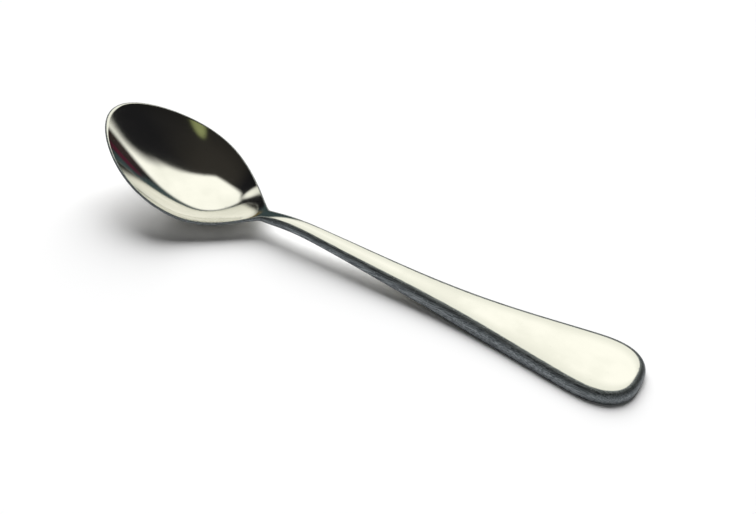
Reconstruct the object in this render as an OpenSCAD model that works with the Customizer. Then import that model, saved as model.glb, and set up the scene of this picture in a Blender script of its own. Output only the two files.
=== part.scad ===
// Teaspoon pressed from one blank of stainless steel.
// It lies as it rests on a table: the bowl's belly and the end of the handle touch z = 0.
// X runs from the bowl's tip to the handle's end, Z is up, and the origin is under the middle of the box.

/* [Overall] */
// Length of the whole spoon
spoon_l = 137; // [125:1:150]

/* [Bowl] */
// Length of the bowl, from its tip to the neck
bowl_l = 44; // [40:0.2:50]
// Width across the bowl
bowl_w = 31.8; // [26:0.2:36]
// Depth of the hollow under the rim, where the bowl is widest
bowl_depth = 6; // [4:0.1:8]
// Thickness of the metal at the rim
rim_t = 0.6; // [0.4:0.05:1]
// Width of the flat land round the hollow
rim_land = 0.35; // [0.2:0.05:1]
// Softness of the step from the land into the hollow
hollow_blend = 0.3; // [0.1:0.05:0.6]
// Rise of the rim from the back of the bowl to its tip
tip_rise = 15.2; // [8:0.2:18]
// Reach of the curve at the low point of the rim
rim_blend = 9; // [6:0.5:12]

/* [Neck] */
// Width of the neck
neck_w = 4.1; // [3:0.1:5]
// Thickness of the neck
neck_t = 1.6; // [1.2:0.1:2.6]
// Length of the neck, from the bowl to the handle
neck_l = 20; // [16:0.5:26]
// Distance from the bowl to the crest of the neck
crest_run = 6.6; // [5:0.2:10]
// Rise of the crest over the low point of the rim
crest_rise = 3.2; // [1:0.1:5]
// Reach of the curve over the crest
crest_blend = 9; // [6:0.5:12]

/* [Handle] */
// Width that the handle's sides grow to at its end
handle_w = 21.4; // [16:0.2:24]
// Thickness of the handle at its end
handle_t = 2.6; // [2:0.1:3.5]
// Length of the rounded end
end_l = 13; // [9:0.5:18]
// Length over which the handle's slope runs out
slope_run = 50; // [40:1:58]
// Reach of the curve at the foot of the slope
slope_blend = 39; // [25:1:44]
// Length of the underside that lies flat on the table
flat_l = 25; // [15:1:30]
// Height of the crown across the handle's upper face
crown = 0.2; // [0:0.05:0.4]
// Radius of the upper edge
edge_r = 1.6; // [0.8:0.1:2]
// Radius of the lower edge
under_edge_r = 0.5; // [0.2:0.05:0.8]

/* [Hidden] */

// How full the bowl's outline is, and how it turns into the neck
lobe_full_share = 2.3;
lobe_turn_share = 1.25;
// Share of the handle's growth that is even along its length, and how late the rest comes
flare_even_share = 0.5;
flare_late_share = 2;
// Squareness of the rounded end
end_square_share = 2.6;
// Places along the bowl, as shares of its length
rim_low_share = 0.78;
turn_share = 0.8;
fade_share = 0.85;
fade_run_share = 0.3;
// Lengths along the neck and the handle, as shares of the neck's length
flare_start_share = 0.3;
flare_blend_share = 0.7;
thicken_start_share = 0.5;
thicken_run_share = 2.25;
// Largest shares of the metal's thickness that the upper and the lower rounded edge may take
upper_edge_share = 0.62;
under_edge_share = 0.3;

// Steps of the mesh: across half the face, round an edge, and along each piece
across_steps = 11;
edge_steps = 3;
bowl_steps = 34;
neck_steps = 10;
handle_steps = 26;
lift_steps = 60;

neck_end = bowl_l + neck_l;
flat_start = spoon_l - flat_l;
rim_low_at = bowl_l * rim_low_share;
crest_at = bowl_l + crest_run;
slope_end = crest_at + slope_run;
flare_at = bowl_l + neck_l * flare_start_share;
hollow_curve = bowl_depth / pow(bowl_w / 2 - rim_land, 2);
hollow_soft = bowl_w * hollow_blend;

// Helpers: a smooth step from 0 to 1, and a line x with a softly rounded start at 0
function unit(x) = min(max(x, 0), 1);
function smooth(x) = pow(unit(x), 3) * (10 - 15 * unit(x) + 6 * pow(unit(x), 2));
function rounded_ramp(x, reach) =
    let(u = min(max(x / reach, -1), 1))
    x > reach ? x : reach * (3 + 8 * u + 6 * pow(u, 2) - pow(u, 4)) / 16;

// Half-width of a bowl-shaped lobe at share t of its length, as a share of its largest half-width
lobe_peak_share = 1 / (1 + 2 * lobe_full_share * lobe_turn_share);
widest_share = pow(lobe_peak_share, 1 / lobe_full_share);
function lobe_shape(t) = sqrt(unit(t)) * pow(1 - pow(unit(t), lobe_full_share), lobe_turn_share);
function lobe_share(t) = lobe_shape(t) / lobe_shape(widest_share);

// Half-width of the outline at s, measured from the bowl's tip
function flare_share(s) =
    let(run = spoon_l - flare_at, u = unit((s - flare_at) / run))
    flare_even_share * rounded_ramp(s - flare_at, neck_l * flare_blend_share) / run
    + (1 - flare_even_share) * smooth(pow(u, flare_late_share));
function bar(s) = neck_w / 2 * smooth(s / bowl_l) + (handle_w - neck_w) / 2 * flare_share(s);
function lobe(t) = (bowl_w / 2 - neck_w / 2 * smooth(widest_share)) * lobe_share(t);
function end_share(s) =
    pow(1 - pow(unit((s - spoon_l + end_l) / end_l), end_square_share), 1 / end_square_share);
function half_width(s) = (lobe(s / bowl_l) + bar(s)) * end_share(s);

// Half-width of the hollow's outline, which keeps the land inside the bowl's rim
function hollow_half(s) = max(lobe((s - rim_land) / (bowl_l - rim_land)) + bar(s) - rim_land, 0);

// Height of the spoon's upper face along its length: tip, low point of the rim, crest, table
function hump(s) =
    (rounded_ramp(slope_end - s, slope_blend) - rounded_ramp(crest_at - s, crest_blend)) / slope_run;
crest_slope = crest_rise / (crest_at - rim_low_at);
tip_slope = tip_rise / rim_low_at;
function arch(s) = handle_t - (handle_t - crest_rise) * hump(s)
    - crest_slope * rounded_ramp(crest_at - s, crest_blend)
    + (crest_slope + tip_slope) * rounded_ramp(rim_low_at - s, rim_blend);

// Thickness of the metal at its edge, and how far the hollow has faded out past the bowl
function fade(s) = 1 - smooth((s - bowl_l * fade_share) / (bowl_l * fade_run_share));
function bar_t(s) = neck_t + (handle_t - neck_t)
    * smooth((s - bowl_l - neck_l * thicken_start_share) / (neck_l * thicken_run_share));
function edge_t(s) = rim_t + (bar_t(s) - rim_t) * (1 - fade(s));
function belly(s) = hollow_curve * fade(s) * pow(half_width(s), 2);

// The low point of the rim lies as high as lets the belly just touch the table
rim_low_z = max([for (i = [1:lift_steps]) let(s = bowl_l * i / lift_steps)
    (edge_t(s) + belly(s) - arch(s)) / hump(s)]);
function rim_z(s) = arch(s) + rim_low_z * hump(s);

// Crown of the handle, which runs out towards its edges, its end and the bowl
function crown_z(s, y) = half_width(s) > 0
    ? crown * (1 - fade(s)) * smooth((spoon_l - s) / end_l) * (1 - pow(y / half_width(s), 2))
    : 0;

// Height of the two faces over a place on the plan
function top_z(s, y) = rim_z(s) + crown_z(s, y)
    - hollow_curve * fade(s) * rounded_ramp(pow(hollow_half(s), 2) - pow(y, 2), hollow_soft);
function flat_fade(s) = 1 - smooth((s - flat_start + flat_l) / flat_l);
function under_z(s, y) = (rim_z(s) - edge_t(s)) * flat_fade(s)
    + hollow_curve * fade(s) * (pow(y, 2) - pow(half_width(s), 2));

// Direction square to the outline, which turns to point along Y towards the neck
function turn(s) = s < bowl_l
    ? 1 - smooth((s / bowl_l - turn_share) / (1 - turn_share))
    : smooth((s - spoon_l + 2 * end_l) / end_l);
function outward(s) =
    let(gap = min(s, spoon_l - s) / 20, rise = half_width(s + gap) - half_width(s - gap))
    gap <= 0 ? [s > bowl_l ? 1 : -1, 0]
    : [-rise * turn(s), 2 * gap] / norm([rise * turn(s), 2 * gap]);

// Half of a closed section, counted from the middle of the top, round the edge, to the middle below
half_count = 2 * across_steps + 2 * edge_steps + 1;
under_start = across_steps + edge_steps + 1;
function upper_r(s) = min(edge_r, upper_edge_share * edge_t(s));
function lower_r(s) = min(under_edge_r, under_edge_share * edge_t(s));
function section_point(s, k) =
    let(
        upper = k < under_start,
        j = upper ? k : half_count - k,
        r = upper ? upper_r(s) : lower_r(s),
        across = sin(90 * min(j / across_steps, 1)),
        angle = 90 * max(j - across_steps, 0) / edge_steps,
        inset = r * (1 - sin(angle)),
        away = outward(s),
        x = s - inset * away[0],
        y = across * (half_width(s) - inset * away[1]),
        round_off = r * (1 - cos(angle)),
        z = upper ? top_z(x, y) - round_off : under_z(x, y) + round_off
    )
    [x - spoon_l / 2, y, z];
function mirrored(p) = [p[0], -p[1], p[2]];
function section(s) = concat(
    [for (k = [0:half_count]) section_point(s, k)],
    [for (k = [half_count - 1:-1:1]) mirrored(section_point(s, k))]);
// At a pointed end both halves meet, and a section is only the line round the edge
function end_line(s) = [for (k = [across_steps:under_start + edge_steps]) section_point(s, k)];

// Places of the sections: close together at a pointed end, even in between
function bowl_place(i) = bowl_l * (1 - cos(90 * i / bowl_steps));
function neck_place(i) = bowl_l + neck_l * i / neck_steps;
function handle_place(i) = neck_end + (spoon_l - neck_end) * sin(90 * i / handle_steps);

// Faces between two neighbouring sections, whose corner numbers are given, without empty triangles
function ring(first) = [for (m = [0:2 * half_count - 1]) first + m];
function end_ring(first) = [for (m = [0:2 * half_count - 1])
    first + min(max(min(m, 2 * half_count - m) - across_steps, 0), 2 * edge_steps + 1)];
function side_faces(a, b) = [for (m = [0:len(a) - 1]) let(n = (m + 1) % len(a))
    for (f = [[a[m], b[n], b[m]], [a[m], a[n], b[n]]])
        if (f[0] != f[1] && f[1] != f[2] && f[2] != f[0]) f];
function reversed(list) = [for (i = [len(list) - 1:-1:0]) list[i]];
// A flat cut is closed by slices that join each corner of the top to the one below it, on both halves
function cut_faces(a) = [for (b = [0, half_count]) for (k = [0:(half_count - 3) / 2])
    let(c = b + half_count - k, d = c % (2 * half_count))
    for (f = [[a[b + k], a[b + k + 1], a[c - 1]], [a[b + k], a[c - 1], a[d]]]) f];

// Skin over the sections at the places given, with a flat cut or a pointed end at each side
module skin(places, start_pointed = false, end_pointed = false) {
    last = len(places) - 1;
    lines = [for (i = [0:last])
        (i == 0 && start_pointed) || (i == last && end_pointed) ? end_line(places[i]) : section(places[i])];
    start_count = len(lines[0]);
    function first(i) = i == 0 ? 0 : start_count + (i - 1) * 2 * half_count;
    rings = [for (i = [0:last])
        (i == 0 && start_pointed) || (i == last && end_pointed) ? end_ring(first(i)) : ring(first(i))];
    polyhedron(
        points = [for (line = lines) for (p = line) p],
        faces = concat(
            [for (i = [1:last]) for (f = side_faces(rings[i - 1], rings[i])) f],
            start_pointed ? [] : [for (f = cut_faces(rings[0])) reversed(f)],
            end_pointed ? [] : cut_faces(rings[last])));
}

module bowl() {
    color("gainsboro")
        skin([for (i = [0:bowl_steps]) bowl_place(i)], start_pointed = true);
}

module neck() {
    color("silver")
        skin([for (i = [0:neck_steps]) neck_place(i)]);
}

module handle() {
    color("whitesmoke")
        skin([for (i = [0:handle_steps]) handle_place(i)], end_pointed = true);
}

bowl();
neck();
handle();
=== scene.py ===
"""Teaspoon pressed from one blank of stainless steel, lying as it rests on a pale table.

The blank is one smooth shape, worked out as arrays from a few sizes, and shown in three regions:
the bowl, the neck and the handle. Each region stands for the solid of the same name.
"""

import logging
import math
from dataclasses import dataclass
from enum import Enum

import bpy
import numpy as np
from mathutils import Matrix, Vector


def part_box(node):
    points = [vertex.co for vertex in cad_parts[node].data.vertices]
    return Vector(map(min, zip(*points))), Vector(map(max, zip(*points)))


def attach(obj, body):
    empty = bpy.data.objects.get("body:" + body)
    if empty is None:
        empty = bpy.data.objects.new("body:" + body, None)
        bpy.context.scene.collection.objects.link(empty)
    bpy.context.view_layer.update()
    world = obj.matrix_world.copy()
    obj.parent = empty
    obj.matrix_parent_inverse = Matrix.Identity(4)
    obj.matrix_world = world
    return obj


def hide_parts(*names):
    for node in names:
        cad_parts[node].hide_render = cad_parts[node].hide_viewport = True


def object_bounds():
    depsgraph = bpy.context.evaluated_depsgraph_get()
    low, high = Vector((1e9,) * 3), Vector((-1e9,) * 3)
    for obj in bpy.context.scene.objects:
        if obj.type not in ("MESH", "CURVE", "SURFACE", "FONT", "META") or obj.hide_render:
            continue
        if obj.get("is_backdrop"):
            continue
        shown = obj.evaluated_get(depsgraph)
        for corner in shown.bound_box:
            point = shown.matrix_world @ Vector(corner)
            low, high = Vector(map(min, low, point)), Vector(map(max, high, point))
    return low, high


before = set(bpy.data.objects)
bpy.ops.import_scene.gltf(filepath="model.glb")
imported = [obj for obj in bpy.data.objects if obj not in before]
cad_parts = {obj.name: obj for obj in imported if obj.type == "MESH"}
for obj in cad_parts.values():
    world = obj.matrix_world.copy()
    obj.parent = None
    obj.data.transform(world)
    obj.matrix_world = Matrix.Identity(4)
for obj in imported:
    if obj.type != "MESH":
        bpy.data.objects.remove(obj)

MM = 0.001
log = logging.getLogger("teaspoon")


def unit(x: np.ndarray) -> np.ndarray:
    """Limit every value to the span from 0 to 1."""
    return np.clip(x, 0.0, 1.0)


def smooth(x: np.ndarray) -> np.ndarray:
    """Step from 0 to 1 that starts and ends without a jump in slope or curvature."""
    u = unit(x)
    return u ** 3 * (10 - 15 * u + 6 * u ** 2)


def rounded_ramp(x: np.ndarray, reach: float) -> np.ndarray:
    """Line x that starts at 0, with its corner rounded over reach on each side.

    Args:
        x: Distance past the corner.
        reach: Distance from the corner at which the rounding ends.

    Returns:
        x beyond the rounding, 0 before it, and a quartic between them.
    """
    u = np.clip(x / reach, -1, 1)
    return np.where(x > reach, x, reach * (3 + 8 * u + 6 * u ** 2 - u ** 4) / 16)


@dataclass
class Profile:
    """Closed section across the blank, as arrays with one value for each of its corners.

    Attributes:
        across: Place across the flat of a face, from 0 in the middle to 1 at the rounded edge.
        angle: Angle round the edge, from 0 on the face to a quarter turn on the side.
        upper: True on the top and its rounding, False on the underside and its rounding.
        side: 1 on the right half and -1 on the left half.
    """

    across: np.ndarray
    angle: np.ndarray
    upper: np.ndarray
    side: np.ndarray

    @classmethod
    def closed(cls, across_steps: int, edge_steps: int) -> "Profile":
        """Lay out the corners from the middle of the top, round the right edge, and back on the left.

        Args:
            across_steps: Steps over half a face, closer together towards the edge.
            edge_steps: Steps round each rounded edge.

        Returns:
            The closed section's profile.
        """
        step = np.arange(across_steps + edge_steps + 1)
        across = np.sin(np.pi / 2 * np.minimum(step / across_steps, 1))
        angle = np.pi / 2 * np.maximum(step - across_steps, 0) / edge_steps
        half_across = np.concatenate([across, across[::-1]])
        half_angle = np.concatenate([angle, angle[::-1]])
        half_upper = np.concatenate([np.ones(len(step), bool), np.zeros(len(step), bool)])
        mirrored = slice(-2, 0, -1)
        return cls(
            across=np.concatenate([half_across, half_across[mirrored]]),
            angle=np.concatenate([half_angle, half_angle[mirrored]]),
            upper=np.concatenate([half_upper, half_upper[mirrored]]),
            side=np.concatenate([np.ones(len(half_across)), -np.ones(len(half_across) - 2)]))


@dataclass
class Blank:
    """Shape of the pressed blank. Lengths are in metres, and s runs along it from the bowl's tip.

    The sizes are those of the solids, so the surfaces lie where the solids' faces are.

    Attributes:
        length: Length of the whole spoon.
        bowl_length: Length from the tip to the neck.
        neck_length: Length from the bowl to the handle.
        bowl_width: Width of the bowl at its widest.
        bowl_depth: Depth of the hollow below the rim.
        rim_thickness: Thickness of the metal at the rim.
        rim_land: Width of the land between the rim and the hollow.
        hollow_blend: Reach of the rounding between the land and the hollow.
        tip_rise: Height of the tip over the rim's low point, before the rounding there.
        rim_blend: Reach of the rounding at the rim's low point.
        neck_width: Width of the neck at its slimmest.
        neck_thickness: Thickness of the neck.
        crest_run: Length from the bowl to the crest of the neck's arch.
        crest_rise: Height of the crest over the rim's low point, before its rounding.
        crest_blend: Reach of the rounding at the crest.
        handle_width: Width that the handle would reach at its end if the end were square.
        handle_thickness: Thickness of the handle.
        end_length: Length over which the handle's end closes.
        slope_run: Length of the slope from the crest down to the handle's level run.
        slope_blend: Reach of the rounding at the slope's foot.
        flat_length: Length of the flat pad under the handle's end.
        crown: Height of the handle's crown.
        edge_radius: Radius of the upper edges.
        under_edge_radius: Radius of the lower edges.
        lobe_full: Power that makes the bowl's lobe fuller.
        lobe_turn: Power that turns the lobe in towards the neck.
        flare_even: Share of the handle's flare that grows evenly, where the rest grows late.
        flare_late: Power that delays the rest.
        end_square: Power of the end's outline, where 2 is an ellipse and more is squarer.
        rim_low_share: Place of the rim's low point, as a share of the bowl.
        turn_share: Place where the outward direction starts to turn, as a share of the bowl.
        fade_share: Place where the hollow starts to run out, as a share of the bowl.
        fade_run_share: Length over which it runs out, as a share of the bowl.
        flare_start_share: Place where the flare starts, as a share of the neck.
        flare_blend_share: Reach of the rounding at the flare's start, as a share of the neck.
        thicken_start_share: Place where the metal starts to thicken, as a share of the neck.
        thicken_run_share: Length over which it thickens, as a share of the neck.
        upper_edge_share: Most of the thickness that an upper edge's rounding may take.
        under_edge_share: Most of the thickness that a lower edge's rounding may take.
        least_half: Least half-width that the crown is divided by.
        lift_steps: Places along the bowl that are tried to find how low it lies on the table.
        outward_parts: The outline's slope is taken over one such part of the way to the nearer end, on
            each side.
        normal_parts: The skin's slope is taken over one such part of the edge's radius, on each side.
    """

    length: float
    bowl_length: float
    neck_length: float
    bowl_width: float = 31.8 * MM
    bowl_depth: float = 6 * MM
    rim_thickness: float = 0.6 * MM
    rim_land: float = 0.35 * MM
    hollow_blend: float = 0.3 * MM
    tip_rise: float = 15.2 * MM
    rim_blend: float = 9 * MM
    neck_width: float = 4.1 * MM
    neck_thickness: float = 1.6 * MM
    crest_run: float = 6.6 * MM
    crest_rise: float = 3.2 * MM
    crest_blend: float = 9 * MM
    handle_width: float = 21.4 * MM
    handle_thickness: float = 2.6 * MM
    end_length: float = 13 * MM
    slope_run: float = 50 * MM
    slope_blend: float = 39 * MM
    flat_length: float = 25 * MM
    crown: float = 0.2 * MM
    edge_radius: float = 1.6 * MM
    under_edge_radius: float = 0.5 * MM
    lobe_full: float = 2.3
    lobe_turn: float = 1.25
    flare_even: float = 0.5
    flare_late: float = 2
    end_square: float = 2.6
    rim_low_share: float = 0.78
    turn_share: float = 0.8
    fade_share: float = 0.85
    fade_run_share: float = 0.3
    flare_start_share: float = 0.3
    flare_blend_share: float = 0.7
    thicken_start_share: float = 0.5
    thicken_run_share: float = 2.25
    upper_edge_share: float = 0.62
    under_edge_share: float = 0.3
    least_half: float = 0.01 * MM
    lift_steps: int = 60
    outward_parts: int = 20
    normal_parts: int = 60

    def __post_init__(self) -> None:
        """Work out the places that follow from the sizes, and the height of the rim's low point."""
        self.rim_low_at = self.bowl_length * self.rim_low_share
        self.crest_at = self.bowl_length + self.crest_run
        self.slope_end = self.crest_at + self.slope_run
        self.flare_at = self.bowl_length + self.neck_length * self.flare_start_share
        self.hollow_curve = self.bowl_depth / (self.bowl_width / 2 - self.rim_land) ** 2
        self.crest_slope = self.crest_rise / (self.crest_at - self.rim_low_at)
        self.tip_slope = self.tip_rise / self.rim_low_at
        peak = 1 / (1 + 2 * self.lobe_full * self.lobe_turn)
        self.widest = peak ** (1 / self.lobe_full)
        s = self.bowl_length * np.arange(1, self.lift_steps + 1) / self.lift_steps
        need = self.edge_thickness(s) + self.belly(s) - self.arch(s)
        self.rim_low_z = float(np.max(need / self.hump(s)))

    def egg(self, t: np.ndarray) -> np.ndarray:
        """Egg-shaped outline at share t of its length: the root of t times (1 - t^m)^n."""
        return np.sqrt(unit(t)) * (1 - unit(t) ** self.lobe_full) ** self.lobe_turn

    def lobe(self, t: np.ndarray) -> np.ndarray:
        """Half-width of the bowl's lobe at share t of its length.

        It is the egg-shaped outline, scaled so that the lobe and the bar make up the bowl's width where
        the outline is widest.

        Args:
            t: Place along the lobe, as a share of its length.

        Returns:
            The half-width.
        """
        widest = np.array(self.widest)
        top = self.bowl_width / 2 - self.neck_width / 2 * float(smooth(widest))
        return top * (self.egg(t) / self.egg(widest))

    def bar(self, s: np.ndarray) -> np.ndarray:
        """Half-width of the bar, which grows along the bowl, runs along the neck and flares in the handle.

        One share of the flare grows evenly from a rounded start, and the rest as a power of the way.

        Args:
            s: Places along the blank.

        Returns:
            The half-width.
        """
        run = self.length - self.flare_at
        late = smooth(unit((s - self.flare_at) / run) ** self.flare_late)
        even = rounded_ramp(s - self.flare_at, self.neck_length * self.flare_blend_share) / run
        flare = self.flare_even * even + (1 - self.flare_even) * late
        stem = self.neck_width / 2 * smooth(s / self.bowl_length)
        return stem + (self.handle_width - self.neck_width) / 2 * flare

    def half_width(self, s: np.ndarray) -> np.ndarray:
        """Half-width of the outline: the lobe plus the bar, closed by a squarish round end.

        Args:
            s: Places along the blank.

        Returns:
            The half-width.
        """
        to_end = unit((s - self.length + self.end_length) / self.end_length)
        closing = (1 - to_end ** self.end_square) ** (1 / self.end_square)
        return (self.lobe(s / self.bowl_length) + self.bar(s)) * closing

    def hollow_half(self, s: np.ndarray) -> np.ndarray:
        """Half-width of the hollow's outline, which keeps the land inside the bowl's rim."""
        lobe = self.lobe((s - self.rim_land) / (self.bowl_length - self.rim_land))
        return np.maximum(lobe + self.bar(s) - self.rim_land, 0)

    def hump(self, s: np.ndarray) -> np.ndarray:
        """Share of the lift at s: 1 over the bowl and the crest, running out to 0 along the handle."""
        foot = rounded_ramp(self.slope_end - s, self.slope_blend)
        return (foot - rounded_ramp(self.crest_at - s, self.crest_blend)) / self.slope_run

    def arch(self, s: np.ndarray) -> np.ndarray:
        """Height of the upper face before the lift: straight runs with rounded corners.

        Args:
            s: Places along the blank.

        Returns:
            The height, which is 0 at the rim's low point and the handle's thickness on its level run.
        """
        rise = self.crest_slope * rounded_ramp(self.crest_at - s, self.crest_blend)
        tip = (self.crest_slope + self.tip_slope) * rounded_ramp(self.rim_low_at - s, self.rim_blend)
        return self.handle_thickness - (self.handle_thickness - self.crest_rise) * self.hump(s) - rise + tip

    def rim_z(self, s: np.ndarray) -> np.ndarray:
        """Height of the rim and of the handle's upper face."""
        return self.arch(s) + self.rim_low_z * self.hump(s)

    def fade(self, s: np.ndarray) -> np.ndarray:
        """Share of the hollow that is left at s: 1 in the bowl, running out to 0 in the neck."""
        start = self.bowl_length * self.fade_share
        return 1 - smooth((s - start) / (self.bowl_length * self.fade_run_share))

    def edge_thickness(self, s: np.ndarray) -> np.ndarray:
        """Thickness at the edge: thin round the bowl, and growing along the neck and the handle.

        Args:
            s: Places along the blank.

        Returns:
            The thickness.
        """
        start = self.bowl_length + self.neck_length * self.thicken_start_share
        grown = smooth((s - start) / (self.neck_length * self.thicken_run_share))
        bar = self.neck_thickness + (self.handle_thickness - self.neck_thickness) * grown
        return self.rim_thickness + (bar - self.rim_thickness) * (1 - self.fade(s))

    def belly(self, s: np.ndarray) -> np.ndarray:
        """Depth of the underside below the edge: the hollow's curve times the half-width squared."""
        return self.hollow_curve * self.fade(s) * self.half_width(s) ** 2

    def crown_z(self, s: np.ndarray, y: np.ndarray) -> np.ndarray:
        """Height of the handle's crown: a parabola across, which runs out towards the end and the bowl.

        Args:
            s: Places along the blank.
            y: Distance from the blank's middle line.

        Returns:
            The height above the edge.
        """
        along = (1 - self.fade(s)) * smooth((self.length - s) / self.end_length)
        half = np.maximum(self.half_width(s), self.least_half)
        return self.crown * along * (1 - (y / half) ** 2)

    def top_z(self, s: np.ndarray, y: np.ndarray) -> np.ndarray:
        """Height of the upper face: the rim less a parabola across, rounded where it meets the land.

        Args:
            s: Places along the blank.
            y: Distance from the blank's middle line.

        Returns:
            The height above the table.
        """
        inside = self.hollow_half(s) ** 2 - y ** 2
        dip = rounded_ramp(inside, self.bowl_width * self.hollow_blend)
        return self.rim_z(s) + self.crown_z(s, y) - self.hollow_curve * self.fade(s) * dip

    def under_z(self, s: np.ndarray, y: np.ndarray) -> np.ndarray:
        """Height of the underside: a parabola under the bowl, and flat on the table at the handle's end.

        Args:
            s: Places along the blank.
            y: Distance from the blank's middle line.

        Returns:
            The height above the table.
        """
        flat = 1 - smooth((s - self.length + 2 * self.flat_length) / self.flat_length)
        curve = self.hollow_curve * self.fade(s) * (y ** 2 - self.half_width(s) ** 2)
        return (self.rim_z(s) - self.edge_thickness(s)) * flat + curve

    def outward(self, s: np.ndarray) -> tuple[np.ndarray, np.ndarray]:
        """Direction square to the outline on the plan, which turns to point along Y towards the neck.

        Args:
            s: Places along the blank.

        Returns:
            The direction's X and Y parts.
        """
        gap = np.minimum(s, self.length - s) / self.outward_parts
        rise = self.half_width(s + gap) - self.half_width(s - gap)
        in_bowl = 1 - smooth((s / self.bowl_length - self.turn_share) / (1 - self.turn_share))
        at_end = smooth((s - self.length + 2 * self.end_length) / self.end_length)
        rise = rise * np.where(s < self.bowl_length, in_bowl, at_end)
        pointed = gap <= 0
        size = np.where(pointed, 1.0, np.hypot(rise, 2 * gap))
        end_x = np.where(s > self.bowl_length, 1.0, -1.0)
        return np.where(pointed, end_x, -rise / size), np.where(pointed, 0.0, 2 * gap / size)

    def surface(self, s: np.ndarray, profile: Profile) -> np.ndarray:
        """Points of the skin over a grid of places along the blank and corners of the section.

        The rounding of an edge is a quarter circle, set in along the outward direction.

        Args:
            s: Places along the blank.
            profile: Corners of the section.

        Returns:
            Array of points, with the shape (places, corners, 3).
        """
        s = s[:, None]
        reach = np.where(profile.upper, self.edge_radius, self.under_edge_radius)
        share = np.where(profile.upper, self.upper_edge_share, self.under_edge_share)
        radius = np.minimum(reach, share * self.edge_thickness(s))
        inset = radius * (1 - np.sin(profile.angle))
        drop = radius * (1 - np.cos(profile.angle))
        out_x, out_y = self.outward(s)
        x = s - inset * out_x
        y = profile.side * profile.across * (self.half_width(s) - inset * out_y)
        z = np.where(profile.upper, self.top_z(x, y) - drop, self.under_z(x, y) + drop)
        return np.stack([x - self.length / 2, y, z], axis=-1)

    def normals(self, s: np.ndarray, profile: Profile) -> np.ndarray:
        """Outward directions of the skin, as the cross product of its slopes along and round the blank.

        The slope along is taken over a short way on both sides of each place, also past a flat cut, so two
        regions have the same direction where they meet.

        Args:
            s: Places along the blank.
            profile: Corners of the section.

        Returns:
            Array of directions one unit long, with the shape (places, corners, 3).
        """
        reach = self.edge_radius / self.normal_parts
        after = self.surface(np.minimum(s + reach, self.length), profile)
        before = self.surface(np.maximum(s - reach, 0), profile)
        points = self.surface(s, profile)
        around = np.roll(points, -1, axis=1) - np.roll(points, 1, axis=1)
        normal = np.cross(after - before, around)
        return normal / np.maximum(np.linalg.norm(normal, axis=-1, keepdims=True), np.finfo(float).tiny)


class Ends(Enum):
    """How the skin of a region ends: cut flat on both sides, or pointed at one of them."""

    FLAT = "flat"
    START_POINTED = "start"
    END_POINTED = "end"


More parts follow.
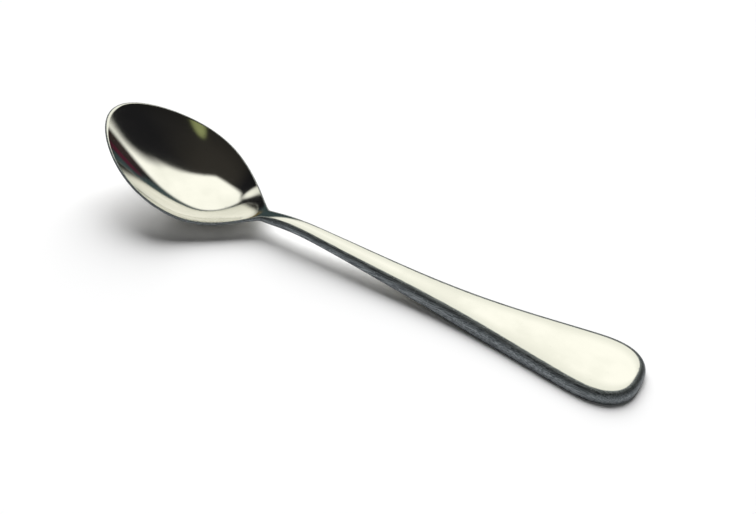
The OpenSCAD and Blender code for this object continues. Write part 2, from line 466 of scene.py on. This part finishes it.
@dataclass
class Region:
    """One region of the blank, as a closed skin.

    Attributes:
        name: Name of the piece.
        node: Solid that the piece stands for.
        start: Place along the blank where the region starts.
        end: Place where it ends.
        steps: Sections along the region.
        ends: How its two ends are closed.
        across_steps: Steps over half a face.
        edge_steps: Steps round each rounded edge.
    """

    name: str
    node: str
    start: float
    end: float
    steps: int
    ends: Ends
    across_steps: int = 72
    edge_steps: int = 8

    def places(self) -> np.ndarray:
        """Places of the sections: even between flat cuts, and close together at a pointed end.

        Returns:
            Places along the blank, from the region's start to its end.
        """
        turn = np.pi / 2 * np.arange(self.steps + 1) / self.steps
        share = {
            Ends.FLAT: turn / (np.pi / 2),
            Ends.START_POINTED: 1 - np.cos(turn),
            Ends.END_POINTED: np.sin(turn)}[self.ends]
        return self.start + (self.end - self.start) * share

    def pointed_line(self, count: int) -> np.ndarray:
        """Corner on which each corner of a pointed end falls, as all its sides shrink to one line."""
        order = np.arange(count)
        return np.clip(np.minimum(order, count - order), self.across_steps, count // 2 - self.across_steps)

    def cap(self, ring: np.ndarray) -> np.ndarray:
        """Close a flat cut with quads that each join two corners of the top to the two below them.

        Args:
            ring: Point numbers round the cut, from the middle of the top.

        Returns:
            Four point numbers for each quad, in the order that faces the blank's start.
        """
        count = len(ring)
        half = count // 2
        step = np.arange(half // 2)
        halves = [
            np.stack([base + step, base + step + 1, base + half - step - 1, base + half - step], axis=-1)
            for base in (0, half)]
        return ring[np.concatenate(halves) % count]

    def build(self, blank: Blank) -> bpy.types.Object:
        """Make the closed skin as a mesh object.

        Args:
            blank: Shape of the blank.

        Returns:
            The piece, at the origin.
        """
        profile = Profile.closed(self.across_steps, self.edge_steps)
        places = self.places()
        points = blank.surface(places, profile)
        normals = blank.normals(places, profile)
        rows, count = points.shape[:2]
        number = np.arange(rows * count).reshape(rows, count)
        line = self.pointed_line(count)
        if self.ends is Ends.START_POINTED:
            number[0] = number[0, line]
            normals[0] = 0
        if self.ends is Ends.END_POINTED:
            number[-1] = number[-1, line]
            normals[-1] = 0
        beside = np.roll(number, -1, axis=1)
        skin = np.stack([number[:-1], number[1:], beside[1:], beside[:-1]], axis=-1).reshape(-1, 4)
        faces = [skin]
        if self.ends is not Ends.START_POINTED:
            faces.append(self.cap(number[0]))
        if self.ends is not Ends.END_POINTED:
            faces.append(self.cap(number[-1])[:, ::-1])
        inboard = (1 - np.abs(profile.across)) * blank.half_width(places)[:, None]
        finish = {"wall": np.tile(np.sin(profile.angle), rows), "inboard": inboard.ravel()}
        corners = np.concatenate(faces)
        return self.piece(points.reshape(-1, 3), normals.reshape(-1, 3), finish, corners, len(skin))

    def piece(
            self, points: np.ndarray, normals: np.ndarray, finish: dict[str, np.ndarray],
            corners: np.ndarray, skin: int) -> bpy.types.Object:
        """Put the points and faces into a mesh, leaving out unused points and empty corners.

        Args:
            points: All grid points.
            normals: Outward direction at each point, or zeros where the faces round it decide.
            finish: Values that the material reads at each point: wall, how far the skin has turned from
                the face, at 0, to the side wall, at 1, and inboard, the distance from the edge in metres.
            corners: Four point numbers for each face, where a three-sided face repeats one.
            skin: How many of the first faces are the skin, and not a flat cut.

        Returns:
            The piece.
        """
        keep = corners != np.roll(corners, -1, axis=1)
        sides = keep.sum(axis=1)
        real = sides >= 3
        rounded = (np.arange(len(corners)) < skin)[real]
        loops = corners[real][keep[real]]
        used, index = np.unique(loops, return_inverse=True)
        totals = sides[real]
        starts = np.concatenate([[0], np.cumsum(totals)[:-1]])
        mesh = bpy.data.meshes.new(self.name)
        mesh.vertices.add(len(used))
        mesh.loops.add(len(index))
        mesh.polygons.add(len(totals))
        mesh.vertices.foreach_set("co", points[used].astype(np.float32).ravel())
        mesh.loops.foreach_set("vertex_index", index.ravel().astype(np.int32))
        mesh.polygons.foreach_set("loop_start", starts.astype(np.int32))
        mesh.polygons.foreach_set("loop_total", totals.astype(np.int32))
        mesh.polygons.foreach_set("use_smooth", rounded)
        for name, value in finish.items():
            layer = mesh.attributes.new(name, "FLOAT", "POINT")
            layer.data.foreach_set("value", value[used].astype(np.float32))
        mesh.update(calc_edges=True)
        mesh.validate()
        mesh.normals_split_custom_set(np.where(np.repeat(rounded, totals)[:, None], normals[loops], 0))
        made = bpy.data.objects.new(self.name, mesh)
        bpy.context.collection.objects.link(made)
        return made


Colour = tuple[float, float, float]
Value = bpy.types.NodeSocket | float | tuple[float, ...]


@dataclass
class Graph:
    """Short ways to add and join shader nodes in one tree."""

    tree: bpy.types.NodeTree

    def node(self, kind: str) -> bpy.types.Node:
        """Add a node of the kind given."""
        return self.tree.nodes.new(kind)

    def link(self, value: Value, socket: bpy.types.NodeSocket) -> None:
        """Join a socket to an input, or set the input to a plain value.

        Args:
            value: Socket or plain value.
            socket: The input.
        """
        if isinstance(value, bpy.types.NodeSocket):
            self.tree.links.new(value, socket)
        else:
            socket.default_value = value

    def math(self, operation: str, *values: Value) -> bpy.types.NodeSocket:
        """Do one step of arithmetic on numbers.

        Args:
            operation: Name of the step.
            values: The numbers, in the step's own order.

        Returns:
            The result.
        """
        made = self.node("ShaderNodeMath")
        made.operation = operation
        for value, socket in zip(values, made.inputs):
            self.link(value, socket)
        return made.outputs["Value"]

    def dot(self, value: Value, axis: Vector) -> bpy.types.NodeSocket:
        """Find the length of a vector along a fixed axis.

        Args:
            value: The vector.
            axis: The axis, one unit long.

        Returns:
            The length.
        """
        made = self.node("ShaderNodeVectorMath")
        made.operation = "DOT_PRODUCT"
        self.link(value, made.inputs[0])
        made.inputs[1].default_value = axis
        return made.outputs["Value"]

    def ramp(self, value: Value, start: float, end: float) -> bpy.types.NodeSocket:
        """Step smoothly from 0 at start to 1 at end, which may be the lower of the two.

        Args:
            value: The number that runs from start to end.
            start: Where the step starts.
            end: Where it ends.

        Returns:
            The step.
        """
        made = self.node("ShaderNodeMapRange")
        made.interpolation_type = "SMOOTHSTEP"
        self.link(value, made.inputs["Value"])
        low, high = sorted((start, end))
        made.inputs["From Min"].default_value = low
        made.inputs["From Max"].default_value = high
        made.inputs["To Min"].default_value = float(start > end)
        made.inputs["To Max"].default_value = float(start < end)
        return made.outputs["Result"]

    def between(self, value: Value, low: float, high: float, soft: float) -> bpy.types.NodeSocket:
        """1 between two values and 0 outside them, with edges that are soft on both sides."""
        rise = self.ramp(value, low - soft, low + soft)
        return self.math("MULTIPLY", rise, self.ramp(value, high + soft, high - soft))

    def attribute(self, name: str) -> bpy.types.NodeSocket:
        """Read a value that the mesh keeps at each point.

        Args:
            name: Name of the value.

        Returns:
            The value.
        """
        made = self.node("ShaderNodeAttribute")
        made.attribute_name = name
        return made.outputs["Fac"]

    def noise(self, place: Value, scale: float, detail: float) -> bpy.types.NodeSocket:
        """Give an even random value about 0.5.

        Args:
            place: Place at which it is read.
            scale: Waves in one unit of the place.
            detail: Finer layers that are added.

        Returns:
            The value.
        """
        made = self.node("ShaderNodeTexNoise")
        made.inputs["Scale"].default_value = scale
        made.inputs["Detail"].default_value = detail
        self.link(place, made.inputs["Vector"])
        return made.outputs["Fac"]

    def mix(self, share: Value, first: Value, second: Value) -> bpy.types.NodeSocket:
        """Blend two colours.

        Args:
            share: Share of the second colour.
            first: The colour at share 0.
            second: The colour at share 1.

        Returns:
            The blend.
        """
        made = self.node("ShaderNodeMix")
        made.data_type = "RGBA"
        made.clamp_result = False
        inputs = [socket for socket in made.inputs if socket.enabled]
        for value, socket in zip((share, first, second), inputs):
            self.link(value, socket)
        return next(socket for socket in made.outputs if socket.enabled)

    def group(self, tree: bpy.types.ShaderNodeTree, **values: Value) -> bpy.types.NodeSocket:
        """Place a node group.

        Args:
            tree: The group.
            values: A socket or a plain value for each of its inputs, by name.

        Returns:
            The group's one output.
        """
        made = self.node("ShaderNodeGroup")
        made.node_tree = tree
        for name, value in values.items():
            self.link(value, made.inputs[name])
        return made.outputs[0]


@dataclass(frozen=True)
class Grain:
    """Fine lines that run along the spoon, each broken off at random.

    Attributes:
        detail: Finer layers in the noise that makes the lines.
        hollow: Noise at which a line is at its lowest.
        crest: Noise at which it is at its highest.
    """

    detail: float = 3.0
    hollow: float = 0.34
    crest: float = 0.66

    def group(self) -> bpy.types.ShaderNodeTree:
        """Build the node group.

        The place is divided by the length of a line along X and by the space between lines across it, and
        noise at the stretched place gives the lines.

        Returns:
            Group with the inputs Place, Length and Space, and the output Lines from 0 to 1.
        """
        tree = bpy.data.node_groups.new("steel_grain", "ShaderNodeTree")
        tree.interface.new_socket("Place", in_out="INPUT", socket_type="NodeSocketVector")
        for name in ("Length", "Space"):
            tree.interface.new_socket(name, in_out="INPUT", socket_type="NodeSocketFloat")
        tree.interface.new_socket("Lines", in_out="OUTPUT", socket_type="NodeSocketFloat")
        graph = Graph(tree)
        given = graph.node("NodeGroupInput").outputs
        parts = graph.node("ShaderNodeSeparateXYZ")
        graph.link(given["Place"], parts.inputs[0])
        stretched = graph.node("ShaderNodeCombineXYZ")
        for axis, step in (("X", "Length"), ("Y", "Space"), ("Z", "Space")):
            graph.link(graph.math("DIVIDE", parts.outputs[axis], given[step]), stretched.inputs[axis])
        noise = graph.noise(stretched.outputs[0], scale=1.0, detail=self.detail)
        lines = graph.ramp(noise, self.hollow, self.crest)
        graph.link(lines, graph.node("NodeGroupOutput").inputs["Lines"])
        return tree


@dataclass(frozen=True)
class Specks:
    """Small specks, one in a few of the cells that fill space.

    Attributes:
        rim: Share of a speck's radius over which it fades in from its rim.
    """

    rim: float = 0.6

    def group(self) -> bpy.types.ShaderNodeTree:
        """Build the node group.

        A speck covers the places nearer to its cell's point than Size times the cell, in the share of the
        cells whose random value is over one less Share.

        Returns:
            Group with the inputs Place, Cell, Size and Share, and the output Specks from 0 to 1.
        """
        tree = bpy.data.node_groups.new("steel_specks", "ShaderNodeTree")
        tree.interface.new_socket("Place", in_out="INPUT", socket_type="NodeSocketVector")
        for name in ("Cell", "Size", "Share"):
            tree.interface.new_socket(name, in_out="INPUT", socket_type="NodeSocketFloat")
        tree.interface.new_socket("Specks", in_out="OUTPUT", socket_type="NodeSocketFloat")
        graph = Graph(tree)
        given = graph.node("NodeGroupInput").outputs
        cells = graph.node("ShaderNodeTexVoronoi")
        graph.link(given["Place"], cells.inputs["Vector"])
        graph.link(graph.math("DIVIDE", 1.0, given["Cell"]), cells.inputs["Scale"])
        near = graph.math("SUBTRACT", 1.0, graph.math("DIVIDE", cells.outputs["Distance"], given["Size"]))
        chance = graph.node("ShaderNodeSeparateColor")
        graph.link(cells.outputs["Color"], chance.inputs[0])
        chosen = graph.math("GREATER_THAN", graph.math("ADD", chance.outputs["Red"], given["Share"]), 1.0)
        specks = graph.math("MULTIPLY", graph.ramp(near, 0.0, self.rim), chosen)
        graph.link(specks, graph.node("NodeGroupOutput").inputs["Specks"])
        return tree


@dataclass(frozen=True)
class PolishedSteel:
    """Stainless steel: faces polished to a mirror, and an edge with grinding lines along its length,
    darkened by painted shade, as is a strip of the faces beside it.

    Attributes:
        colour: Colour of the polished faces.
        smudged: Their colour under a faint film.
        painted_strip_shade: Their colour beside the edge, darkened as painted shade.
        ground_painted_shade: Colour of the edge in the grinding lines' hollows, far darker than steel:
            painted shade.
        pit_and_crest_shade: Colour on the crests of the lines, also darkened by painted shade, and the
            colour that pits take on.
        painted_strip_width: Width of the strip of painted shade beside the edge, in metres.
        edge_reach: Distance inboard that counts as a turn of one, in metres.
        edge_start: Turn from the face, as a sine, at which the edge's finish and painted shade start.
        edge_full: Turn at which it is complete.
        edge_ragged: How far the grinding lines shift the start.
        polish_roughness: Roughness of the faces.
        film_roughness: Most that the film and the polishing lines add to it.
        film_veil: The film's share of that.
        line_veil: The polishing lines' share of that.
        ground_roughness: Roughness of the edge with its grinding lines.
        line_length: Length of a polishing line, in metres.
        line_space: Distance between polishing lines.
        grind_length: Length of a grinding line.
        grind_space: Distance between grinding lines.
        grind_middle: Value of the grinding lines on their average.
        film_waves: Waves of the film in a metre.
        film_detail: Finer layers of the film.
        film_start: Value of the film's noise at which the film starts to show.
        film_full: Value at which it is complete.
        fleck_cell: Size of the cells that hold the pale flecks on the edge, in metres.
        fleck_size: Radius of a fleck, as a share of its cell.
        fleck_share: Share of the cells that hold a fleck.
        pit_cell: Size of the cells that hold the dark pits on the faces, in metres.
        pit_size: Radius of a pit, as a share of its cell.
        pit_share: Share of the cells that hold a pit.
        pit_strength: How far a pit takes on the colour of the edge.
        dent_waves: Waves in a metre of the faces' slight unevenness.
        dent_detail: Finer layers of that unevenness.
        dent_depth: Height of that unevenness, in metres.
        line_depth: Height of the polishing lines.
        grind_depth: Height of the grinding lines.
    """

    colour: Colour = (0.78, 0.77, 0.735)
    smudged: Colour = (0.7, 0.695, 0.655)
    # Painted shade: the faces are darker in a strip beside the edge.
    painted_strip_shade: Colour = (0.64, 0.64, 0.6)
    # Painted shade: both colours of the edge are far darker than steel, so the rounded sides show dark.
    ground_painted_shade: Colour = (0.08, 0.09, 0.1)
    pit_and_crest_shade: Colour = (0.29, 0.315, 0.325)
    painted_strip_width: float = 4 * MM
    edge_reach: float = 2.5 * MM
    edge_start: float = -0.06
    edge_full: float = 0.13
    edge_ragged: float = 0.1
    polish_roughness: float = 0.055
    film_roughness: float = 0.06
    film_veil: float = 0.7
    line_veil: float = 0.3
    ground_roughness: float = 0.48
    line_length: float = 24 * MM
    line_space: float = 0.35 * MM
    grind_length: float = 5 * MM
    grind_space: float = 0.13 * MM
    grind_middle: float = 0.5
    film_waves: float = 70
    film_detail: float = 4
    film_start: float = 0.42
    film_full: float = 0.68
    fleck_cell: float = 0.7 * MM
    fleck_size: float = 0.4
    fleck_share: float = 0.4
    pit_cell: float = 2.6 * MM
    pit_size: float = 0.1
    pit_share: float = 0.35
    pit_strength: float = 0.5
    dent_waves: float = 110
    dent_detail: float = 1
    dent_depth: float = 0.03 * MM
    line_depth: float = 0.0006 * MM
    grind_depth: float = 0.007 * MM

    def material(self) -> bpy.types.Material:
        """Make the material, in which masks from the mesh's values and the patterns drive all inputs.

        The edge's mask is a soft step over the turn of the skin less its distance inboard, made ragged by
        the grinding lines.

        Returns:
            The material.
        """
        made = bpy.data.materials.new("polished_steel")
        made.use_nodes = True
        graph = Graph(made.node_tree)
        shader = made.node_tree.nodes["Principled BSDF"]
        grain = Grain().group()
        specks = Specks().group()
        place = graph.node("ShaderNodeTexCoord").outputs["Object"]
        wall = graph.attribute("wall")
        inboard = graph.attribute("inboard")
        polish = graph.group(grain, Place=place, Length=self.line_length, Space=self.line_space)
        grind = graph.group(grain, Place=place, Length=self.grind_length, Space=self.grind_space)
        flecks = graph.group(
            specks, Place=place, Cell=self.fleck_cell, Size=self.fleck_size, Share=self.fleck_share)
        pits = graph.group(specks, Place=place, Cell=self.pit_cell, Size=self.pit_size, Share=self.pit_share)
        film_noise = graph.noise(place, self.film_waves, self.film_detail)
        film = graph.ramp(film_noise, self.film_start, self.film_full)
        ragged = graph.math(
            "MULTIPLY", graph.math("SUBTRACT", grind, self.grind_middle), self.edge_ragged)
        turned = graph.math("MULTIPLY_ADD", inboard, -1 / self.edge_reach, wall)
        edge = graph.ramp(graph.math("ADD", turned, ragged), self.edge_start, self.edge_full)

        # Painted shade: the faces darken over a strip beside the edge.
        painted_strip_shade = graph.ramp(inboard, self.painted_strip_width, 0.0)
        face = graph.mix(film, (*self.colour, 1), (*self.smudged, 1))
        face = graph.mix(painted_strip_shade, face, (*self.painted_strip_shade, 1))
        face = graph.mix(graph.math("MULTIPLY", pits, self.pit_strength), face, (*self.pit_and_crest_shade, 1))
        # The edge takes dark colours of painted shade, with the grinding lines and flecks as its real
        # pattern.
        crests = graph.math("MAXIMUM", grind, flecks)
        ground_edge_shade = graph.mix(crests, (*self.ground_painted_shade, 1), (*self.pit_and_crest_shade, 1))
        graph.link(graph.mix(edge, face, ground_edge_shade), shader.inputs["Base Color"])
        shader.inputs["Metallic"].default_value = 1

        lines = graph.math("MULTIPLY", polish, self.line_veil)
        veil = graph.math("ADD", graph.math("MULTIPLY", film, self.film_veil), lines)
        gloss = graph.math("MULTIPLY_ADD", veil, self.film_roughness, self.polish_roughness)
        apart = graph.math("SUBTRACT", self.ground_roughness, gloss)
        graph.link(graph.math("MULTIPLY_ADD", edge, apart, gloss), shader.inputs["Roughness"])

        dents = graph.noise(place, self.dent_waves, self.dent_detail)
        uneven = graph.math("MULTIPLY", dents, self.dent_depth)
        fine = graph.math("MULTIPLY_ADD", polish, self.line_depth, uneven)
        coarse = graph.math("MULTIPLY", grind, self.grind_depth)
        height = graph.math("MULTIPLY_ADD", edge, graph.math("SUBTRACT", coarse, fine), fine)
        bump = graph.node("ShaderNodeBump")
        bump.inputs["Strength"].default_value = 1
        bump.inputs["Distance"].default_value = 1
        graph.link(height, bump.inputs["Height"])
        graph.link(bump.outputs["Normal"], shader.inputs["Normal"])
        return made


def facing(azimuth: float, elevation: float) -> Vector:
    """Direction at an azimuth from +Y toward +X and an elevation, in degrees."""
    a, e = math.radians(azimuth), math.radians(elevation)
    return Vector((math.sin(a) * math.cos(e), math.cos(a) * math.cos(e), math.sin(e)))


@dataclass(frozen=True)
class Lamp:
    """Far, soft light that the steel doesn't mirror, since the room already holds its image.

    Attributes:
        name: Name of the lamp.
        azimuth: Its direction from +Y toward +X, in degrees.
        elevation: Its height above the table, in degrees.
        width: Its width as the spoon sees it, in degrees.
        strength: Its light on a sheet that faces it.
    """

    name: str
    azimuth: float
    elevation: float
    width: float
    strength: float

    def build(self) -> bpy.types.Object:
        """Make the lamp.

        Returns:
            The lamp, turned to shine on the spoon from its direction.
        """
        data = bpy.data.lights.new(self.name, "SUN")
        data.angle = math.radians(self.width)
        data.energy = self.strength
        made = bpy.data.objects.new(self.name, data)
        made.visible_glossy = False
        made.rotation_euler = facing(self.azimuth, self.elevation).to_track_quat("Z", "Y").to_euler()
        bpy.context.collection.objects.link(made)
        return made


@dataclass(frozen=True)
class Patch:
    """Soft round patch of another colour in the mirrored room.

    Attributes:
        azimuth: Direction of its middle from +Y toward +X, in degrees.
        elevation: Height of its middle, in degrees.
        reach: Angle from its middle at which it has faded out, in degrees.
        colour: Its colour.
    """

    azimuth: float
    elevation: float
    reach: float
    colour: Colour

    def lay(self, graph: Graph, direction: bpy.types.NodeSocket, under: Value) -> bpy.types.NodeSocket:
        """Lay the patch over a colour.

        Args:
            graph: The world's nodes.
            direction: Direction from the spoon, one unit long.
            under: The colour that it covers.

        Returns:
            The colour with the patch on it.
        """
        near = graph.dot(direction, facing(self.azimuth, self.elevation))
        share = graph.ramp(near, math.cos(math.radians(self.reach)), 1.0)
        return graph.mix(share, under, (*self.colour, 1))


@dataclass(frozen=True)
class Window:
    """Large window behind the spoon, as the steel mirrors it: an arch that is cut off below.

    The arch is drawn on a flat map of the directions round its middle. The map's coordinates are twice
    the direction's sideways and upward parts over 1 plus its part ahead.

    Attributes:
        colour: Colour of its light.
        azimuth: Direction of its middle from +Y toward +X, in degrees.
        elevation: Height of its middle, in degrees.
        half_width: Half its width on the map.
        height: Height of the arch over its middle on the map.
        arch: Power of the arch's outline, where 1 is a gable and 2 an ellipse.
        arch_soft: Half the width of the arch's soft edge, in the sum of powers that is 1 on the arch.
        foot: Sine of the elevation at which the window is cut off.
        foot_slope: How much lower the cut lies for each unit to the right on the map.
        foot_soft: Width of the cut's soft edge.
        far_margin: Small part added so that the map's scale stays finite opposite the window.
    """

    colour: Colour = (1.28, 1.28, 1.16)
    azimuth: float = -22
    elevation: float = 52
    half_width: float = 0.58
    height: float = 0.6
    arch: float = 1.5
    arch_soft: float = 0.12
    foot: float = 0.43
    foot_slope: float = 0.1
    foot_soft: float = 0.09
    far_margin: float = 0.001

    def axes(self) -> tuple[Vector, Vector, Vector]:
        """Give the three directions that the map is drawn by.

        Returns:
            The directions to the window's middle, level to its right, and square to both, upward.
        """
        centre = facing(self.azimuth, self.elevation)
        level = facing(self.azimuth + 90, 0)
        return centre, level, level.cross(centre)

    def mask(self, graph: Graph, direction: bpy.types.NodeSocket) -> bpy.types.NodeSocket:
        """Draw the window.

        Args:
            graph: The world's nodes.
            direction: Direction from the spoon, one unit long.

        Returns:
            1 on the window and 0 off it, with soft edges.
        """
        ahead, sideways, upward = (graph.dot(direction, axis) for axis in self.axes())
        spread = graph.math("DIVIDE", 2.0, graph.math("ADD", ahead, 1 + self.far_margin))
        across = graph.math("MULTIPLY", sideways, spread)
        above = graph.math("MULTIPLY", upward, spread)
        sides = graph.math("DIVIDE", graph.math("ABSOLUTE", across), self.half_width)
        top = graph.math("DIVIDE", graph.math("MAXIMUM", above, 0.0), self.height)
        parts = [graph.math("POWER", value, self.arch) for value in (sides, top)]
        arch = graph.ramp(graph.math("ADD", *parts), 1 + self.arch_soft, 1 - self.arch_soft)
        raised = graph.math("MULTIPLY_ADD", across, self.foot_slope, graph.dot(direction, Vector((0, 0, 1))))
        half = self.foot_soft / 2
        return graph.math("MULTIPLY", arch, graph.ramp(raised, self.foot - half, self.foot + half))


@dataclass(frozen=True)
class Room:
    """Dark room that the steel mirrors, with a window behind the spoon and a pale sweep low down.

    Heights are the direction's upward part, and sides its part to the right of the window's middle.
    Where a pair of values is a soft edge, it starts at the first and is complete at the second.

    Attributes:
        colour: Colour of the dark room.
        ceiling: Colour overhead.
        ceiling_heights: Soft edge of the ceiling.
        rear: Plain grey on the camera's side, mirrored when the spoon is seen from another side.
        rear_forward: Soft edge of the rear, as the direction's level part towards the window.
        rear_heights: Soft upper edge of the rear.
        wall: Colour of the wall under the window.
        wall_sides: Left and right side of the wall.
        wall_side_soft: Half the width of the wall's soft sides.
        wall_heights: Soft upper edge of the wall.
        sweep: Colour of the pale sweep that the table runs into.
        sweep_sides: Left and right side of the sweep.
        sweep_side_soft: Half the width of the sweep's soft sides.
        sweep_heights: Soft upper edge of the sweep.
        behind: Soft edge of the wall and the sweep, as the direction's part towards the window.
        window: The window.
        patches: Patches of other colours, from the lowest layer up.
    """

    colour: Colour = (0.013, 0.013, 0.014)
    ceiling: Colour = (0.036, 0.033, 0.028)
    ceiling_heights: tuple[float, float] = (0.75, 1.0)
    rear: Colour = (0.4, 0.41, 0.41)
    rear_forward: tuple[float, float] = (0.1, -0.15)
    rear_heights: tuple[float, float] = (0.74, 0.58)
    wall: Colour = (0.05, 0.075, 0.078)
    wall_sides: tuple[float, float] = (-0.45, 0.34)
    wall_side_soft: float = 0.04
    wall_heights: tuple[float, float] = (0.52, 0.44)
    sweep: Colour = (1.0, 1.0, 0.9)
    sweep_sides: tuple[float, float] = (-0.3, 0.19)
    sweep_side_soft: float = 0.05
    sweep_heights: tuple[float, float] = (0.22, 0.14)
    behind: tuple[float, float] = (-0.1, 0.3)
    window: Window = Window()
    patches: tuple[Patch, ...] = (
        Patch(azimuth=121, elevation=61, reach=6, colour=(0.36, 0.4, 0.17)),
        Patch(azimuth=9, elevation=14, reach=10, colour=(0.045, 0.03, 0.028)),
        Patch(azimuth=0, elevation=12, reach=4, colour=(0.085, 0.017, 0.032)),
        Patch(azimuth=-42, elevation=8, reach=7, colour=(0.2, 0.15, 0.065)),
        Patch(azimuth=-71, elevation=31, reach=9, colour=(1.2, 1.2, 1.08)))

    def shade(self, graph: Graph, direction: bpy.types.NodeSocket) -> bpy.types.NodeSocket:
        """Colour of the room in each direction, for the steel's reflections.

        Args:
            graph: The world's nodes.
            direction: Direction from the spoon, one unit long.

        Returns:
            The colour.
        """
        centre, level, _ = self.window.axes()
        ahead = graph.dot(direction, centre)
        sideways = graph.dot(direction, level)
        forward = graph.dot(direction, facing(self.window.azimuth, 0))
        height = graph.dot(direction, Vector((0, 0, 1)))
        behind = graph.ramp(ahead, *self.behind)

        overhead = graph.ramp(height, *self.ceiling_heights)
        shade = graph.mix(overhead, (*self.colour, 1), (*self.ceiling, 1))
        rear = graph.math(
            "MULTIPLY", graph.ramp(forward, *self.rear_forward), graph.ramp(height, *self.rear_heights))
        shade = graph.mix(rear, shade, (*self.rear, 1))
        layers = (
            (self.wall, self.wall_sides, self.wall_side_soft, self.wall_heights),
            (self.sweep, self.sweep_sides, self.sweep_side_soft, self.sweep_heights))
        for colour, sides, soft, heights in layers:
            strip = graph.math("MULTIPLY", graph.between(sideways, *sides, soft), behind)
            share = graph.math("MULTIPLY", graph.ramp(height, *heights), strip)
            shade = graph.mix(share, shade, (*colour, 1))
        for patch in self.patches:
            shade = patch.lay(graph, direction, shade)
        return graph.mix(self.window.mask(graph, direction), shade, (*self.window.colour, 1))


@dataclass(frozen=True)
class Studio:
    """Pale table, plain soft light and the room that the steel mirrors.

    Attributes:
        floor_size: Side of the table, in metres.
        floor_colour: Colour of the table.
        fill: Light of the room on the table, from all sides.
        room: What the steel mirrors.
        lamps: The light from the window and the light that comes back from the front.
    """

    floor_size: float = 3.0
    floor_colour: Colour = (0.93, 0.93, 0.93)
    fill: Colour = (0.022, 0.022, 0.022)
    room: Room = Room()
    lamps: tuple[Lamp, ...] = (
        Lamp("window_light", azimuth=-32, elevation=44, width=60, strength=4.62),
        Lamp("front_light", azimuth=160, elevation=60, width=40, strength=0.15))

    def floor(self) -> bpy.types.Object:
        """Make the table as one wide flat sheet that shows white and keeps the spoon's shadow.

        Returns:
            The table.
        """
        half = self.floor_size / 2
        corners = [(-half, -half, 0), (half, -half, 0), (half, half, 0), (-half, half, 0)]
        mesh = bpy.data.meshes.new("table")
        mesh.from_pydata(corners, [], [(0, 1, 2, 3)])
        made = bpy.data.objects.new("table", mesh)
        bpy.context.collection.objects.link(made)
        material = bpy.data.materials.new("table_white")
        material.use_nodes = True
        shader = material.node_tree.nodes["Principled BSDF"]
        shader.inputs["Base Color"].default_value = (*self.floor_colour, 1)
        shader.inputs["Roughness"].default_value = 1
        shader.inputs["Specular IOR Level"].default_value = 0
        mesh.materials.append(material)
        made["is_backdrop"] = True
        return made

    def world(self) -> None:
        """Make the world: white to the camera, a soft fill to the table, and the room to the steel."""
        world = bpy.data.worlds.new("room")
        bpy.context.scene.world = world
        world.use_nodes = True
        graph = Graph(world.node_tree)
        background = world.node_tree.nodes["Background"]
        direction = graph.node("ShaderNodeTexCoord").outputs["Generated"]
        mirrored = self.room.shade(graph, direction)
        path = graph.node("ShaderNodeLightPath").outputs
        lit = graph.mix(path["Is Diffuse Ray"], mirrored, (*self.fill, 1))
        shown = graph.mix(path["Is Camera Ray"], lit, (1, 1, 1, 1))
        graph.link(shown, background.inputs["Color"])

    def build(self) -> None:
        """Make everything round the spoon."""
        bpy.context.scene.view_settings.view_transform = "Standard"
        self.floor()
        for lamp in self.lamps:
            lamp.build()
        self.world()


@dataclass(frozen=True)
class View:
    """Camera at the photograph's angle. Angles are in degrees, and lengths in metres where not named.

    Attributes:
        azimuth: Direction of the camera from -Y toward +X.
        elevation: Height of the camera above the table.
        distance: Distance of the camera from the target.
        roll: Turn of the camera about its own axis.
        target: Point that the camera looks at.
        focal_pixels: Focal length, in pixels of the picture.
        frame_width: Width of the picture, in pixels.
        sensor_width: Width of the sensor, in millimetres.
        clip_start: Nearest distance that is shown.
        clip_end: Farthest distance that is shown.
    """

    azimuth: float = 26.51
    elevation: float = 36.27
    distance: float = 236.95 * MM
    roll: float = 6.01
    target: tuple[float, float, float] = (5.42 * MM, 0.96 * MM, 5 * MM)
    focal_pixels: float = 1060
    frame_width: int = 756
    sensor_width: float = 36
    clip_start: float = 0.01
    clip_end: float = 50

    def build(self) -> bpy.types.Object:
        """Make the camera and set it as the scene's own.

        Returns:
            The camera.
        """
        a, e, r = (math.radians(v) for v in (self.azimuth, self.elevation, self.roll))
        back = Vector((math.sin(a) * math.cos(e), -math.cos(a) * math.cos(e), math.sin(e)))
        right = Vector((math.cos(a), math.sin(a), 0))
        up = back.cross(right)
        turned_right = right * math.cos(r) + up * math.sin(r)
        turned_up = up * math.cos(r) - right * math.sin(r)
        data = bpy.data.cameras.new("view")
        data.sensor_width = self.sensor_width
        data.lens = self.focal_pixels * self.sensor_width / self.frame_width
        data.clip_start = self.clip_start
        data.clip_end = self.clip_end
        made = bpy.data.objects.new("view", data)
        turn = Matrix((turned_right, turned_up, back)).transposed().to_4x4()
        made.matrix_world = Matrix.Translation(Vector(self.target) + back * self.distance) @ turn
        bpy.context.collection.objects.link(made)
        bpy.context.scene.camera = made
        return made


def main() -> None:
    """Build the spoon's three regions, the table, the light and the camera."""
    logging.basicConfig(level=logging.INFO, format="%(name)s: %(message)s")
    frame_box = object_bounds()
    low, high = frame_box
    bowl_low, bowl_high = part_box("bowl")
    neck_low, neck_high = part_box("neck")
    blank = Blank(
        length=high.x - low.x,
        bowl_length=bowl_high.x - bowl_low.x,
        neck_length=neck_high.x - neck_low.x)
    View().build()
    Studio().build()
    steel = PolishedSteel().material()
    bowl_end = blank.bowl_length
    neck_end = bowl_end + blank.neck_length
    regions = [
        Region("spoon_bowl", "bowl", start=0, end=bowl_end, steps=200, ends=Ends.START_POINTED),
        Region("spoon_neck", "neck", start=bowl_end, end=neck_end, steps=100, ends=Ends.FLAT),
        Region("spoon_handle", "handle", start=neck_end, end=blank.length, steps=220, ends=Ends.END_POINTED)]
    for region in regions:
        piece = region.build(blank)
        piece.data.materials.append(steel)
        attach(piece, "root")
        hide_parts(region.node)
        log.info("%s: %d faces", region.name, len(piece.data.polygons))


if __name__ == "__main__":
    main()
